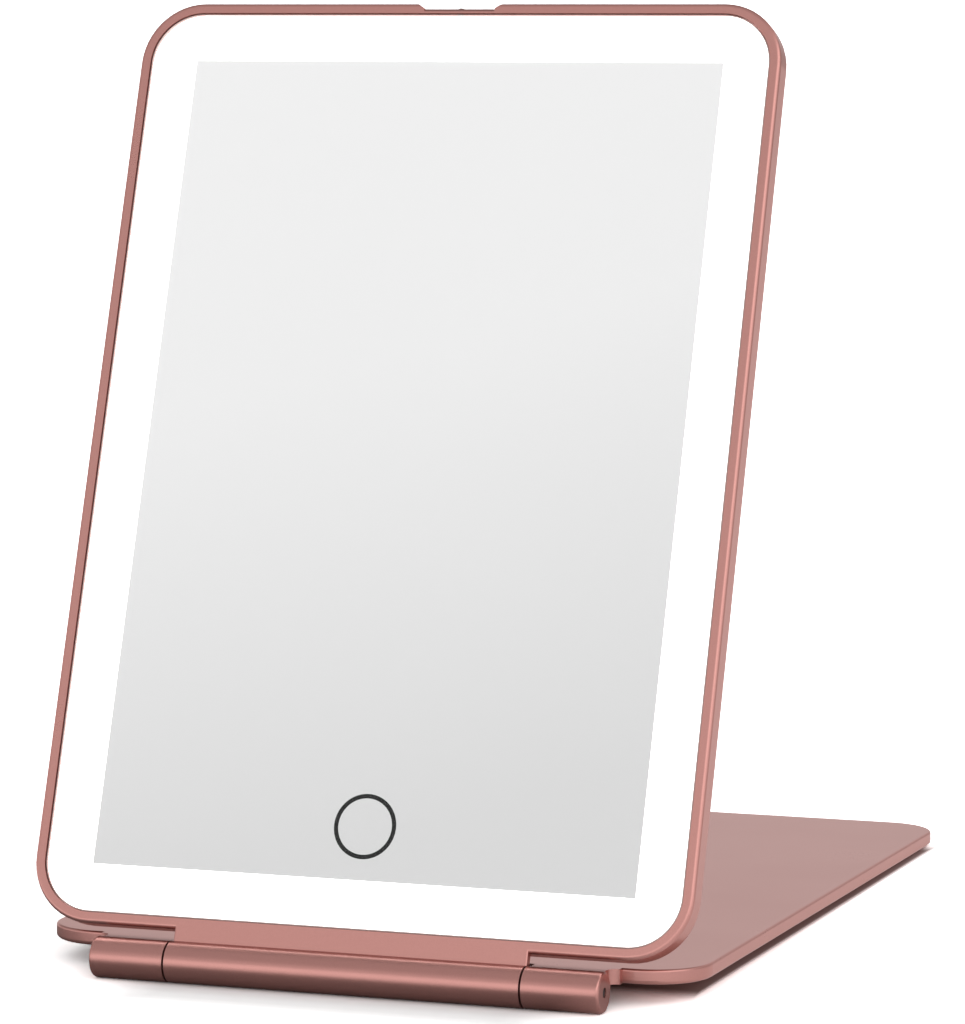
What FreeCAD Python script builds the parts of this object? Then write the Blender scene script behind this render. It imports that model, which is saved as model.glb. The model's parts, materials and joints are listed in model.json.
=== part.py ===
import FreeCAD
import Part
import math
import os
import Sketcher
from types import SimpleNamespace

# Driving sizes in millimetres, angles in degrees
SIZES = {
    # Whole panel and cover
    "panel_width": 160.0,
    "panel_height": 223.5,
    "panel_depth": 8.0,
    "corner_radius": 14.9,
    "lean_angle": 19.87,
    # Hinge
    "hinge_reach": 7.55,
    "front_offset": 0.3,
    "closed_gap": 0.5,
    "barrel_radius": 4.75,
    "barrel_edge_radius": 0.7,
    "tab_width": 85.6,
    "tab_thickness": 2.2,
    "tab_edge_radius": 0.35,
    "knuckle_gap": 0.5,
    "knuckle_length": 18.2,
    "pin_radius": 1.2,
    "pin_recess": 0.3,
    "pin_grip": 15.0,
    "bush_radius": 2.6,
    "bush_length": 16.0,
    "pin_clearance": 0.03,
    # Front frame
    "rim_width": 2.5,
    "rim_edge_radius": 0.9,
    "frame_depth": 4.7,
    "ledge_width": 1.2,
    "ledge_thickness": 0.8,
    "notch_width": 17.6,
    "notch_ramp": 1.85,
    "notch_depth": 1.25,
    "notch_bevel": 0.8,
    "lens_radius": 0.8,
    "lens_depth": 1.7,
    "lens_stand": 0.35,
    "lens_crown_radius": 0.3,
    "lens_clearance": 0.05,
    # Rear shell
    "floor_thickness": 1.2,
    "shell_wall": 3.6,
    "back_edge_radius": 3.0,
    "lip_height": 0.5,
    "lip_clearance": 0.1,
    "post_radius": 2.0,
    # Mirror pane and light
    "glass_recess": 0.4,
    "glass_thickness": 1.1,
    "glass_gap": 0.35,
    "silver_border": 14.05,
    "silver_thickness": 0.1,
    "bond_margin": 0.2,
    "diffuser_thickness": 1.1,
    "diffuser_gap": 0.15,
    "diffuser_port_radius": 10.0,
    "ring_rise": 26.5,
    "ring_radius": 7.5,
    "ring_line": 0.95,
    "ring_clearance": 0.05,
    "electrode_radius": 6.0,
    "electrode_thickness": 0.1,
    "contact_radius": 2.5,
    "led_board_inset": 4.4,
    "led_board_band": 13.0,
    "led_board_thickness": 0.8,
    "led_line_inset": 10.0,
    "led_corner_space": 9.0,
    "led_pitch": 9.0,
    "led_length": 3.5,
    "led_width": 2.8,
    "led_height": 0.7,
    # Control board and charging socket
    "board_width": 76.0,
    "board_height": 26.0,
    "board_gap": 0.6,
    "board_rise": 1.6,
    "board_thickness": 0.8,
    "arm_width": 13.0,
    "arm_wall_gap": 0.4,
    "screw_inset": 3.0,
    "screw_radius": 0.7,
    "screw_head_radius": 1.3,
    "screw_head_height": 0.7,
    "screw_end_gap": 0.1,
    "screw_clearance": 0.1,
    "boss_radius": 2.0,
    "chip_side": 5.0,
    "chip_height": 0.9,
    "chip_spacing": 10.0,
    "coil_side": 4.0,
    "coil_height": 1.0,
    "socket_width": 8.94,
    "socket_height": 3.16,
    "socket_length": 7.3,
    "socket_wall": 0.25,
    "socket_recess": 0.3,
    "socket_clearance": 0.1,
    "tongue_width": 6.7,
    "tongue_thickness": 0.7,
    "tongue_length": 4.6,
    "tongue_base": 1.6,
    # Battery and leads
    "cell_width": 60.0,
    "cell_height": 90.0,
    "cell_thickness": 2.6,
    "cell_rise": 62.0,
    "cell_edge_radius": 0.8,
    "tape_margin": 8.0,
    "tape_thickness": 0.2,
    "lead_radius": 0.4,
    "lead_bend": 2.0,
    "lead_spacing": 5.0,
    "lead_overlap": 3.0,
    "lead_inset": 19.0,
    # Cover
    "cover_thickness": 3.5,
    "cover_corner_radius": 14.0,
    "cover_top_radius": 0.6,
    "cover_under_radius": 1.0,
    "web_set_back": 0.9,
    "web_flare": 2.4,
    "web_shoulder": 1.05,
    "brim_gap": 0.9,
    "crease_width": 0.45,
    "crease_depth": 0.3,
    "pad_width": 14.0,
    "pad_length": 6.0,
    "pad_stand": 0.5,
    "pad_seat": 0.5,
    "pad_corner_radius": 2.0,
    "pad_side_inset": 25.0,
    "pad_end_inset": 5.7,
    # One overrun for every cut
    "overrun": 1.0,
}

# Support posts: heights as shares of the panel's height, reach as a share of its half width
POST_HEIGHT_SHARES = (0.3, 0.55, 0.82)
POST_REACH_SHARE = 0.6

# Chips in the row on the control board
CHIP_COUNT = 3

# Two points closer than this count as the same point when an edge is looked up
MATCH = 1e-4


class Size:
    """A length or angle with its number and the sheet formula that gives it."""

    def __init__(self, number, formula):
        self.number = number
        self.formula = formula

    def __add__(self, other):
        return Size(self.number + other.number, f"({self.formula} + {other.formula})")

    def __sub__(self, other):
        return Size(self.number - other.number, f"({self.formula} - {other.formula})")

    def __neg__(self):
        return Size(-self.number, f"(0 - {self.formula})")

    def __mul__(self, share):
        return Size(self.number * share, f"({self.formula} * {share})")

    def __truediv__(self, share):
        return Size(self.number / share, f"({self.formula} / {share})")


def product(first, second):
    """One size times another, such as a reach times a cosine."""
    return Size(first.number * second.number, f"({first.formula} * {second.formula})")


def sine(angle):
    """The sine of an angle in degrees."""
    return Size(math.sin(math.radians(angle.number)), f"sin({angle.formula})")


def cosine(angle):
    """The cosine of an angle in degrees."""
    return Size(math.cos(math.radians(angle.number)), f"cos({angle.formula})")


def leg(slant, side):
    """The second short side of a right triangle, from its long side and the first short one."""
    number = math.sqrt(slant.number ** 2 - side.number ** 2)
    return Size(number, f"sqrt({slant.formula} ^ 2 - {side.formula} ^ 2)")


def slope(rise, slant):
    """The angle whose sine is rise over slant."""
    angle = math.degrees(math.asin(rise.number / slant.number))
    return Size(angle, f"asin({rise.formula} / {slant.formula})")


def slope_of_run(rise, run):
    """The angle whose tangent is rise over run."""
    angle = math.degrees(math.atan2(rise.number, run.number))
    return Size(angle, f"atan({rise.formula} / {run.formula})")


def diagonal(first, second):
    """The long side of a right triangle from its two short sides."""
    number = math.hypot(first.number, second.number)
    return Size(number, f"sqrt({first.formula} ^ 2 + {second.formula} ^ 2)")


ZERO = Size(0.0, "0")
RIGHT_ANGLE = Size(90.0, "90")

doc = FreeCAD.newDocument("folding_lighted_mirror")
sheet = doc.addObject("Spreadsheet::Sheet", "Sizes")
for row, (alias, value) in enumerate(SIZES.items(), start=1):
    sheet.set(f"A{row}", alias)
    sheet.set(f"B{row}", str(value))
    sheet.setAlias(f"B{row}", alias)
doc.recompute()
dim = SimpleNamespace(**{alias: Size(value, f"Sizes.{alias}") for alias, value in SIZES.items()})


class Rect:
    """A rectangle given by its four sides."""

    def __init__(self, left, right, low, high):
        self.left = left
        self.right = right
        self.low = low
        self.high = high

    def inset(self, margin):
        """The rectangle whose sides lie one margin further in."""
        return Rect(self.left + margin, self.right - margin, self.low + margin, self.high - margin)

    def corners(self):
        """The four corner points, counter-clockwise."""
        bottom = [(self.left, self.low), (self.right, self.low)]
        top = [(self.right, self.high), (self.left, self.high)]
        return bottom + top


# Panel and cover are both drawn about the hinge axis: x along it, y away from it, z out of the front
half_width = dim.panel_width / 2
panel_top = dim.hinge_reach + dim.panel_height
outline = Rect(-half_width, half_width, dim.hinge_reach, panel_top)
half_tab = dim.tab_width / 2
web_start = half_tab + dim.knuckle_gap
barrel_end = web_start + dim.knuckle_length

# Layers of the panel, as depths behind its front plane
glass_back = dim.glass_recess + dim.glass_thickness
silver_back = glass_back + dim.silver_thickness
diffuser_back = silver_back + dim.diffuser_thickness
ledge_back = diffuser_back + dim.ledge_thickness
floor_face = dim.panel_depth - dim.floor_thickness
led_board_face = floor_face - dim.led_board_thickness
socket_centre = floor_face - dim.socket_clearance - dim.socket_height / 2
board_face = socket_centre - dim.board_thickness / 2
board_back = board_face + dim.board_thickness

# Control board, clear of the inner edge of the light board, and touch ring, up the panel from the hinge axis
light_window = outline.inset(dim.led_board_inset + dim.led_board_band)
board = Rect(
    light_window.left + dim.board_gap,
    light_window.left + dim.board_gap + dim.board_width,
    light_window.low + dim.board_rise,
    light_window.low + dim.board_rise + dim.board_height,
)
board_middle = (board.low + board.high) / 2
ring_height = dim.hinge_reach + dim.ring_rise
cell = Rect(
    -dim.cell_width / 2,
    dim.cell_width / 2,
    dim.hinge_reach + dim.cell_rise,
    dim.hinge_reach + dim.cell_rise + dim.cell_height,
)

# The cover tilts until its rear pads and the hinge barrel stand on the table
cover_inner = dim.front_offset + dim.closed_gap
cover_outer = cover_inner + dim.cover_thickness
pad_face = cover_inner - dim.pad_stand
pad_rear = panel_top - dim.pad_end_inset
cover_tilt = slope(dim.barrel_radius, diagonal(pad_rear, pad_face)) + slope_of_run(pad_face, pad_rear)
cover_reach = product(panel_top, cosine(cover_tilt)) + product(
    cover_outer - dim.cover_top_radius, sine(cover_tilt)
)
hinge_y = -(cover_reach - dim.barrel_radius) / 2
hinge_z = dim.barrel_radius


def level(depth):
    """Height of a layer in the panel's own frame, from its depth behind the front plane."""
    return dim.front_offset - depth


def seat(item, axis_x, turn):
    """Turn an item about the hinge axis and put that axis at its place in the whole object."""
    axis = FreeCAD.Vector(axis_x, 0, 0)
    spot = FreeCAD.Vector(0, hinge_y.number, hinge_z.number)
    item.Placement = FreeCAD.Placement(spot, FreeCAD.Rotation(axis, turn.number))
    item.setExpression("Placement.Base.y", hinge_y.formula)
    item.setExpression("Placement.Base.z", hinge_z.formula)
    item.setExpression("Placement.Rotation.Angle", turn.formula)


def seat_on_panel(item):
    """Place an item drawn in the panel's frame, leaning back from upright."""
    seat(item, 1, RIGHT_ANGLE - dim.lean_angle)


def seat_on_cover(item):
    """Place an item drawn in the cover's frame, with its rear end tilted down."""
    seat(item, -1, cover_tilt)


pieces = []


def new_body(label, seat_item):
    """Start a sub-part that is built up from sketches."""
    body = doc.addObject("PartDesign::Body", label)
    body.Label = label
    seat_item(body)
    pieces.append(body)
    return body


def new_group(label, shapes, seat_item):
    """Make a sub-part from one or more separate solids drawn in its carrier's frame."""
    feature = doc.addObject("Part::Feature", label)
    feature.Label = label
    feature.Shape = shapes[0] if len(shapes) == 1 else Part.makeCompound(shapes)
    seat_item(feature)
    pieces.append(feature)


def sketch_on(body, role, offset):
    """Add a sketch to a body, on one of its origin planes moved along that plane's normal."""
    plane = next(item for item in body.Origin.OriginFeatures if item.Role == role)
    sketch = body.newObject("Sketcher::SketchObject", "sketch")
    sketch.AttachmentSupport = [(plane, "")]
    sketch.MapMode = "FlatFace"
    sketch.setExpression("AttachmentOffset.Base.z", offset.formula)
    return sketch


def hold(sketch, kind, axis, point, distance):
    """Hold a drawn point at a distance from the sketch's origin, along one axis."""
    root = (-1, 1)
    if distance.number == 0:
        sketch.addConstraint(Sketcher.Constraint("PointOnObject", *point, axis))
        return
    ends = (*root, *point) if distance.number > 0 else (*point, *root)
    gap = distance if distance.number > 0 else -distance
    index = sketch.addConstraint(Sketcher.Constraint(kind, *ends, gap.number))
    sketch.setExpression(f"Constraints[{index}]", gap.formula)


def hold_point(sketch, point, spot):
    """Hold a drawn point at its two distances from the sketch's origin."""
    upright_axis, level_axis = -2, -1
    hold(sketch, "DistanceX", upright_axis, point, spot[0])
    hold(sketch, "DistanceY", level_axis, point, spot[1])


def draw_polygon(sketch, spots):
    """Draw a closed outline of straight lines through points given as pairs of sizes."""
    points = [FreeCAD.Vector(x.number, y.number, 0) for x, y in spots]
    first = sketch.GeometryCount
    for start, end in zip(points, points[1:] + points[:1]):
        sketch.addGeometry(Part.LineSegment(start, end))
    for index, spot in enumerate(spots):
        following = first + (index + 1) % len(spots)
        sketch.addConstraint(Sketcher.Constraint("Coincident", first + index, 2, following, 1))
        hold_point(sketch, (first + index, 1), spot)


def draw_circle(sketch, spot, radius):
    """Draw a circle round a point."""
    centre = FreeCAD.Vector(spot[0].number, spot[1].number, 0)
    circle = sketch.addGeometry(Part.Circle(centre, FreeCAD.Vector(0, 0, 1), radius.number))
    hold_point(sketch, (circle, 3), spot)
    index = sketch.addConstraint(Sketcher.Constraint("Radius", circle, radius.number))
    sketch.setExpression(f"Constraints[{index}]", radius.formula)


def draw_rounded(sketch, rect, radius):
    """Draw a rectangle with round corners."""
    inner = rect.inset(radius).corners()
    centres = [FreeCAD.Vector(x.number, y.number, 0) for x, y in inner]
    quarter = math.pi / 2
    arcs = []
    for index, centre in enumerate(centres):
        circle = Part.Circle(centre, FreeCAD.Vector(0, 0, 1), radius.number)
        start = (index + 2) * quarter
        arcs.append(sketch.addGeometry(Part.ArcOfCircle(circle, start, start + quarter)))
    for index, arc in enumerate(arcs):
        following = arcs[(index + 1) % len(arcs)]
        ends = (sketch.Geometry[arc].EndPoint, sketch.Geometry[following].StartPoint)
        line = sketch.addGeometry(Part.LineSegment(*ends))
        sketch.addConstraint(Sketcher.Constraint("Tangent", arc, 2, line, 1))
        sketch.addConstraint(Sketcher.Constraint("Tangent", line, 2, following, 1))
    for arc, spot in zip(arcs, inner):
        hold_point(sketch, (arc, 3), spot)
    for arc in arcs[1:]:
        sketch.addConstraint(Sketcher.Constraint("Equal", arcs[0], arc))
    index = sketch.addConstraint(Sketcher.Constraint("Radius", arcs[0], radius.number))
    sketch.setExpression(f"Constraints[{index}]", radius.formula)


def draw_outline(sketch, rect, corner):
    """Draw a rectangle, with its corners rounded if a radius is given."""
    if corner:
        draw_rounded(sketch, rect, corner)
    else:
        draw_polygon(sketch, rect.corners())


def draw_stadium(sketch, spot, width, height):
    """Draw a slot with round ends, its long side along the sketch's first axis."""
    radius = height / 2
    reach = width / 2 - radius
    middle = FreeCAD.Vector(spot[0].number, spot[1].number, 0)
    side = FreeCAD.Vector(reach.number, 0, 0)
    rise = FreeCAD.Vector(0, radius.number, 0)
    normal = FreeCAD.Vector(0, 0, 1)
    quarter = math.pi / 2
    right_circle = Part.Circle(middle + side, normal, radius.number)
    left_circle = Part.Circle(middle - side, normal, radius.number)
    right = sketch.addGeometry(Part.ArcOfCircle(right_circle, -quarter, quarter))
    left = sketch.addGeometry(Part.ArcOfCircle(left_circle, quarter, 3 * quarter))
    top = sketch.addGeometry(Part.LineSegment(middle + side + rise, middle - side + rise))
    bottom = sketch.addGeometry(Part.LineSegment(middle - side - rise, middle + side - rise))
    for joint in ((right, 2, top, 1), (top, 2, left, 1), (left, 2, bottom, 1), (bottom, 2, right, 1)):
        sketch.addConstraint(Sketcher.Constraint("Tangent", *joint))
    hold_point(sketch, (right, 3), (spot[0] + reach, spot[1]))
    hold_point(sketch, (left, 3), (spot[0] - reach, spot[1]))
    sketch.addConstraint(Sketcher.Constraint("Equal", right, left))
    index = sketch.addConstraint(Sketcher.Constraint("Radius", right, radius.number))
    sketch.setExpression(f"Constraints[{index}]", radius.formula)


def add_pad(body, sketch, length, backwards=False):
    """Raise a sketch into a solid, and fuse it to what the body already holds."""
    pad = body.newObject("PartDesign::Pad", "pad")
    pad.Profile = sketch
    pad.Reversed = backwards
    pad.setExpression("Length", length.formula)
    doc.recompute()


def cut_pocket(body, sketch, length, backwards=False):
    """Cut a sketch out of a body, against the sketch's normal unless backwards."""
    before = body.Shape.Volume
    pocket = body.newObject("PartDesign::Pocket", "pocket")
    pocket.Profile = sketch
    pocket.Reversed = backwards
    pocket.setExpression("Length", length.formula)
    doc.recompute()
    if body.Shape.Volume >= before:
        raise RuntimeError(f"a pocket in {body.Label} cuts nothing")


def round_edges(body, names, radius):
    """Round the named edges of a body's latest feature."""
    base = body.Tip
    fillet = body.newObject("PartDesign::Fillet", "fillet")
    fillet.Base = (base, names)
    fillet.setExpression("Radius", radius.formula)
    doc.recompute()


def edges_where(body, test):
    """Names of the edges of a body's latest feature that pass a test, in the body's own frame."""
    edges = body.Tip.Shape.Edges
    return [f"Edge{index}" for index, edge in enumerate(edges, start=1) if test(edge)]


def face_outline(body, height):
    """Names of the outer edges of the flat face that lies at one height."""
    wires = [
        face.OuterWire
        for face in body.Tip.Shape.Faces
        if face.BoundBox.ZLength < MATCH and abs(face.BoundBox.ZMin - height.number) < MATCH
    ]
    outer = max(wires, key=lambda wire: wire.BoundBox.DiagonalLength)
    return edges_where(body, lambda edge: any(edge.isSame(side) for side in outer.Edges))


def add_slab(body, rect, low, thickness, corner=None):
    """Add a flat rectangular plate, with its corners rounded if a radius is given."""
    sketch = sketch_on(body, "XY_Plane", low)
    draw_outline(sketch, rect, corner)
    add_pad(body, sketch, thickness)


def cut_well(body, rect, high, depth, corner=None):
    """Sink a rectangular well into a body, with its corners rounded if a radius is given."""
    sketch = sketch_on(body, "XY_Plane", high)
    draw_outline(sketch, rect, corner)
    cut_pocket(body, sketch, depth)


def add_bar(body, start, length, radius):
    """Add a round bar along the hinge axis, from a start towards +x."""
    sketch = sketch_on(body, "YZ_Plane", start)
    draw_circle(sketch, (ZERO, ZERO), radius)
    add_pad(body, sketch, length)


def cut_bore(body, start, length, radius):
    """Bore a body along the hinge axis, from a start towards +x."""
    sketch = sketch_on(body, "YZ_Plane", start)
    draw_circle(sketch, (ZERO, ZERO), radius)
    cut_pocket(body, sketch, length, backwards=True)


def box_between(low, high):
    """A plain block from its lowest corner to its highest, both given as sizes."""
    start = FreeCAD.Vector(*[size.number for size in low])
    end = FreeCAD.Vector(*[size.number for size in high])
    span = end - start
    return Part.makeBox(span.x, span.y, span.z, start)


def post_between(spot, radius, low, high):
    """An upright round post."""
    foot = FreeCAD.Vector(spot[0].number, spot[1].number, low.number)
    return Part.makeCylinder(radius.number, high.number - low.number, foot)


def centred(middle, span):
    """The low and high ends of a span about its middle."""
    return middle - span / 2, middle + span / 2


def lead_tube(spots, radius, bend):
    """A round insulated lead along straight runs that tangent arcs join."""
    points = [FreeCAD.Vector(*[size.number for size in spot]) for spot in spots]
    edges = []
    start = points[0]
    for before, corner, after in zip(points, points[1:], points[2:]):
        back = (before - corner).normalize()
        ahead = (after - corner).normalize()
        half_turn = (math.pi - back.getAngle(ahead)) / 2
        cut_back = bend.number * math.tan(half_turn)
        first = corner + back * cut_back
        last = corner + ahead * cut_back
        bisector = (back + ahead).normalize()
        centre = corner + bisector * (bend.number / math.cos(half_turn))
        edges.append(Part.makeLine(start, first))
        edges.append(Part.Arc(first, centre - bisector * bend.number, last).toShape())
        start = last
    edges.append(Part.makeLine(start, points[-1]))
    path = Part.Wire(edges)
    section = Part.Wire(Part.makeCircle(radius.number, points[0], points[1] - points[0]))
    tube = path.makePipeShell([section], True, False)
    filled = tube.Volume / (math.pi * radius.number ** 2 * path.Length)
    print(f"lead: length {path.Length:.2f} mm, volume over section times length {filled:.4f}")
    return tube


# Front frame: rim, glass opening, ledge, hinge tab with the middle knuckle, and thumb notch
def make_front_frame():
    frame = new_body("front_frame", seat_on_panel)
    add_slab(frame, outline, level(dim.frame_depth), dim.frame_depth, dim.corner_radius)
    round_edges(frame, face_outline(frame, level(ZERO)), dim.rim_edge_radius)
    opening = outline.inset(dim.rim_width)
    opening_radius = dim.corner_radius - dim.rim_width
    cut_well(frame, opening, level(ZERO), diffuser_back, opening_radius)
    ledge_inset = dim.rim_width + dim.ledge_width
    cut_well(
        frame,
        outline.inset(ledge_inset),
        level(diffuser_back),
        dim.frame_depth,
        dim.corner_radius - ledge_inset,
    )
    back = sketch_on(frame, "XY_Plane", level(dim.frame_depth))
    draw_rounded(back, opening, opening_radius)
    cut_pocket(frame, back, dim.frame_depth - ledge_back, backwards=True)
    tab = sketch_on(frame, "XZ_Plane", ZERO)
    section = Rect(-half_tab, half_tab, level(dim.tab_thickness), level(ZERO))
    draw_rounded(tab, section, dim.tab_edge_radius)
    add_pad(frame, tab, dim.hinge_reach + dim.rim_width / 2, backwards=True)
    add_bar(frame, -half_tab, dim.tab_width, dim.barrel_radius)
    cut_bore(frame, -half_tab - dim.overrun, dim.bush_length + dim.overrun, dim.bush_radius)
    cut_bore(frame, half_tab - dim.bush_length, dim.bush_length + dim.overrun, dim.bush_radius)
    cut_thumb_notch(frame, ZERO, dim.frame_depth)
    bevel_thumb_notch(frame)
    cut_lens_bore(frame)
    cut_socket_mouth(frame)


def cut_thumb_notch(body, front, depth):
    """Cut the shallow finger notch with sloped ends into the top of a housing."""
    half_low = dim.notch_width / 2
    half_over = half_low + dim.notch_ramp * 2
    floor_line = panel_top - dim.notch_depth
    over_line = panel_top + dim.notch_depth
    notch = sketch_on(body, "XY_Plane", level(front))
    draw_polygon(
        notch,
        [(-half_low, floor_line), (half_low, floor_line), (half_over, over_line), (-half_over, over_line)],
    )
    cut_pocket(body, notch, depth)


def bevel_thumb_notch(frame):
    """Bevel the front edge of the finger notch."""
    floor_line = panel_top - dim.notch_depth
    bevel_line = floor_line - dim.notch_bevel
    bevel = sketch_on(frame, "YZ_Plane", -dim.notch_width / 2)
    draw_polygon(
        bevel,
        [
            (bevel_line, level(ZERO)),
            (floor_line, level(dim.notch_bevel)),
            (floor_line + dim.notch_bevel, level(dim.notch_bevel)),
            (floor_line + dim.notch_bevel, level(ZERO)),
        ],
    )
    cut_pocket(frame, bevel, dim.notch_width, backwards=True)


def cut_lens_bore(frame):
    """Bore the rim at the middle of the notch for the indicator lens."""
    bore = sketch_on(frame, "XZ_Plane", -panel_top)
    draw_circle(bore, (ZERO, level(dim.lens_depth)), dim.lens_radius + dim.lens_clearance)
    cut_pocket(frame, bore, dim.rim_width + dim.overrun, backwards=True)


def cut_socket_mouth(body):
    """Open the left wall of a housing for the charging socket."""
    width = dim.socket_width + dim.socket_clearance * 2
    height = dim.socket_height + dim.socket_clearance * 2
    mouth = sketch_on(body, "YZ_Plane", -half_width - dim.overrun)
    draw_stadium(mouth, (board_middle, level(socket_centre)), width, height)
    cut_pocket(body, mouth, dim.shell_wall + dim.ledge_width + dim.overrun, backwards=True)


# Rear shell: back plate with rounded edges, locating lip, bosses for the board and posts behind the pane
def make_rear_shell():
    shell = new_body("rear_shell", seat_on_panel)
    back = level(dim.panel_depth)
    seam = level(dim.frame_depth)
    add_slab(shell, outline, back, dim.panel_depth - dim.frame_depth, dim.corner_radius)
    round_edges(shell, face_outline(shell, back), dim.back_edge_radius)
    lip_inset = dim.rim_width + dim.lip_clearance
    add_slab(shell, outline.inset(lip_inset), seam, dim.lip_height, dim.corner_radius - lip_inset)
    cut_well(
        shell,
        outline.inset(dim.shell_wall),
        seam + dim.lip_height,
        floor_face - dim.frame_depth + dim.lip_height,
        dim.corner_radius - dim.shell_wall,
    )
    bosses = sketch_on(shell, "XY_Plane", level(floor_face))
    for spot in screw_spots():
        draw_circle(bosses, spot, dim.boss_radius)
    add_pad(shell, bosses, floor_face - board_back)
    pilots = sketch_on(shell, "XY_Plane", level(board_back))
    for spot in screw_spots():
        draw_circle(pilots, spot, dim.screw_radius)
    cut_pocket(shell, pilots, floor_face - board_back)
    posts = sketch_on(shell, "XY_Plane", level(floor_face))
    for side in (-1, 1):
        for share in POST_HEIGHT_SHARES:
            spot = (half_width * (side * POST_REACH_SHARE), dim.hinge_reach + dim.panel_height * share)
            draw_circle(posts, spot, dim.post_radius)
    add_pad(shell, posts, floor_face - diffuser_back)
    cut_thumb_notch(shell, dim.frame_depth, dim.panel_depth - dim.frame_depth)
    cut_socket_mouth(shell)


def screw_spots():
    """Centres of the board screws, one in each corner of the board."""
    return board.inset(dim.screw_inset).corners()


# Mirror pane: glass, silvered rectangle with a hole at the touch ring, clear bond round it, opal diffuser
def make_pane():
    glass_inset = dim.rim_width + dim.glass_gap
    glass = new_body("mirror_glass", seat_on_panel)
    add_slab(
        glass,
        outline.inset(glass_inset),
        level(glass_back),
        dim.glass_thickness,
        dim.corner_radius - glass_inset,
    )
    silver = new_body("mirror_silvering", seat_on_panel)
    add_slab(silver, outline.inset(dim.silver_border), level(silver_back), dim.silver_thickness)
    etched = sketch_on(silver, "XY_Plane", level(glass_back))
    draw_circle(etched, (ZERO, ring_height), dim.ring_radius + dim.ring_clearance)
    cut_pocket(silver, etched, dim.silver_thickness)
    bond_inset = glass_inset + dim.bond_margin
    bond = new_body("glass_bond", seat_on_panel)
    add_slab(
        bond,
        outline.inset(bond_inset),
        level(silver_back),
        dim.silver_thickness,
        dim.corner_radius - bond_inset,
    )
    window = outline.inset(dim.silver_border - dim.bond_margin)
    cut_well(bond, window, level(glass_back), dim.silver_thickness)
    diffuser_inset = dim.rim_width + dim.diffuser_gap
    diffuser = new_body("light_diffuser", seat_on_panel)
    add_slab(
        diffuser,
        outline.inset(diffuser_inset),
        level(diffuser_back),
        dim.diffuser_thickness,
        dim.corner_radius - diffuser_inset,
    )
    port = sketch_on(diffuser, "XY_Plane", level(silver_back))
    draw_circle(port, (ZERO, ring_height), dim.diffuser_port_radius)
    cut_pocket(diffuser, port, dim.diffuser_thickness)


# Touch control: black ring behind the glass, silvered disc in it, foil electrode, foam post to the board
def make_touch_control():
    inner_radius = dim.ring_radius - dim.ring_line
    ring = new_body("touch_ring", seat_on_panel)
    line = sketch_on(ring, "XY_Plane", level(silver_back))
    draw_circle(line, (ZERO, ring_height), dim.ring_radius)
    draw_circle(line, (ZERO, ring_height), inner_radius)
    add_pad(ring, line, dim.silver_thickness)
    button = new_body("touch_disc", seat_on_panel)
    face = sketch_on(button, "XY_Plane", level(silver_back))
    draw_circle(face, (ZERO, ring_height), inner_radius - dim.ring_clearance)
    add_pad(button, face, dim.silver_thickness)
    electrode_back = silver_back + dim.electrode_thickness
    electrode = new_body("touch_electrode", seat_on_panel)
    disc = sketch_on(electrode, "XY_Plane", level(electrode_back))
    draw_circle(disc, (ZERO, ring_height), dim.electrode_radius)
    add_pad(electrode, disc, dim.electrode_thickness)
    contact = new_body("touch_contact", seat_on_panel)
    post = sketch_on(contact, "XY_Plane", level(board_face))
    draw_circle(post, (ZERO, ring_height), dim.contact_radius)
    add_pad(contact, post, board_face - electrode_back)


# Indicator lens: a small round window with a crowned top in the floor of the notch
def make_indicator_lens():
    lens = new_body("indicator_lens", seat_on_panel)
    foot = panel_top - dim.rim_width
    length = dim.rim_width - dim.notch_depth + dim.lens_stand
    sketch = sketch_on(lens, "XZ_Plane", -foot)
    draw_circle(sketch, (ZERO, level(dim.lens_depth)), dim.lens_radius)
    add_pad(lens, sketch, length, backwards=True)
    top = (foot + length).number
    crown = edges_where(lens, lambda edge: edge.BoundBox.YMin > top - MATCH)
    round_edges(lens, crown, dim.lens_crown_radius)


# Light board: a band of circuit board under the lit border, with a gap at the socket
def make_led_board():
    base = new_body("led_board", seat_on_panel)
    add_slab(
        base,
        outline.inset(dim.led_board_inset),
        level(floor_face),
        dim.led_board_thickness,
        dim.corner_radius - dim.led_board_inset,
    )
    cut_well(base, light_window, level(led_board_face), dim.led_board_thickness)
    low, high = centred(board_middle, dim.arm_width)
    gap_end = -half_width + dim.socket_recess + dim.socket_length + dim.socket_clearance
    gap = Rect(-half_width, gap_end, low, high)
    cut_well(base, gap, level(led_board_face), dim.led_board_thickness)
    new_group("leds", [led_at(*spot) for spot in led_spots()], seat_on_panel)


def led_spots():
    """Places of the lights on the four sides: across, along, and whether the light stands upright."""
    line = outline.inset(dim.led_line_inset)
    columns = spread(line.left, line.right)
    rows = spread(line.low, line.high)
    spots = [(x, y, False) for y in (line.low, line.high) for x in columns]
    spots += [(line.right, y, True) for y in rows]
    reach = (dim.arm_width + dim.led_length).number / 2 + dim.socket_clearance.number
    spots += [(line.left, y, True) for y in rows if abs(y.number - board_middle.number) > reach]
    return spots


def spread(start, end):
    """Places one pitch or a little less apart, clear of both corners."""
    first = start + dim.led_corner_space
    span = end - dim.led_corner_space - first
    steps = math.ceil(span.number / dim.led_pitch.number)
    return [first + span * (index / steps) for index in range(steps + 1)]


def led_at(across, along, upright):
    """One light, standing on the light board."""
    wide, tall = (dim.led_width, dim.led_length) if upright else (dim.led_length, dim.led_width)
    left, right = centred(across, wide)
    low, high = centred(along, tall)
    foot = level(led_board_face)
    return box_between((left, low, foot), (right, high, foot + dim.led_height))


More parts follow.
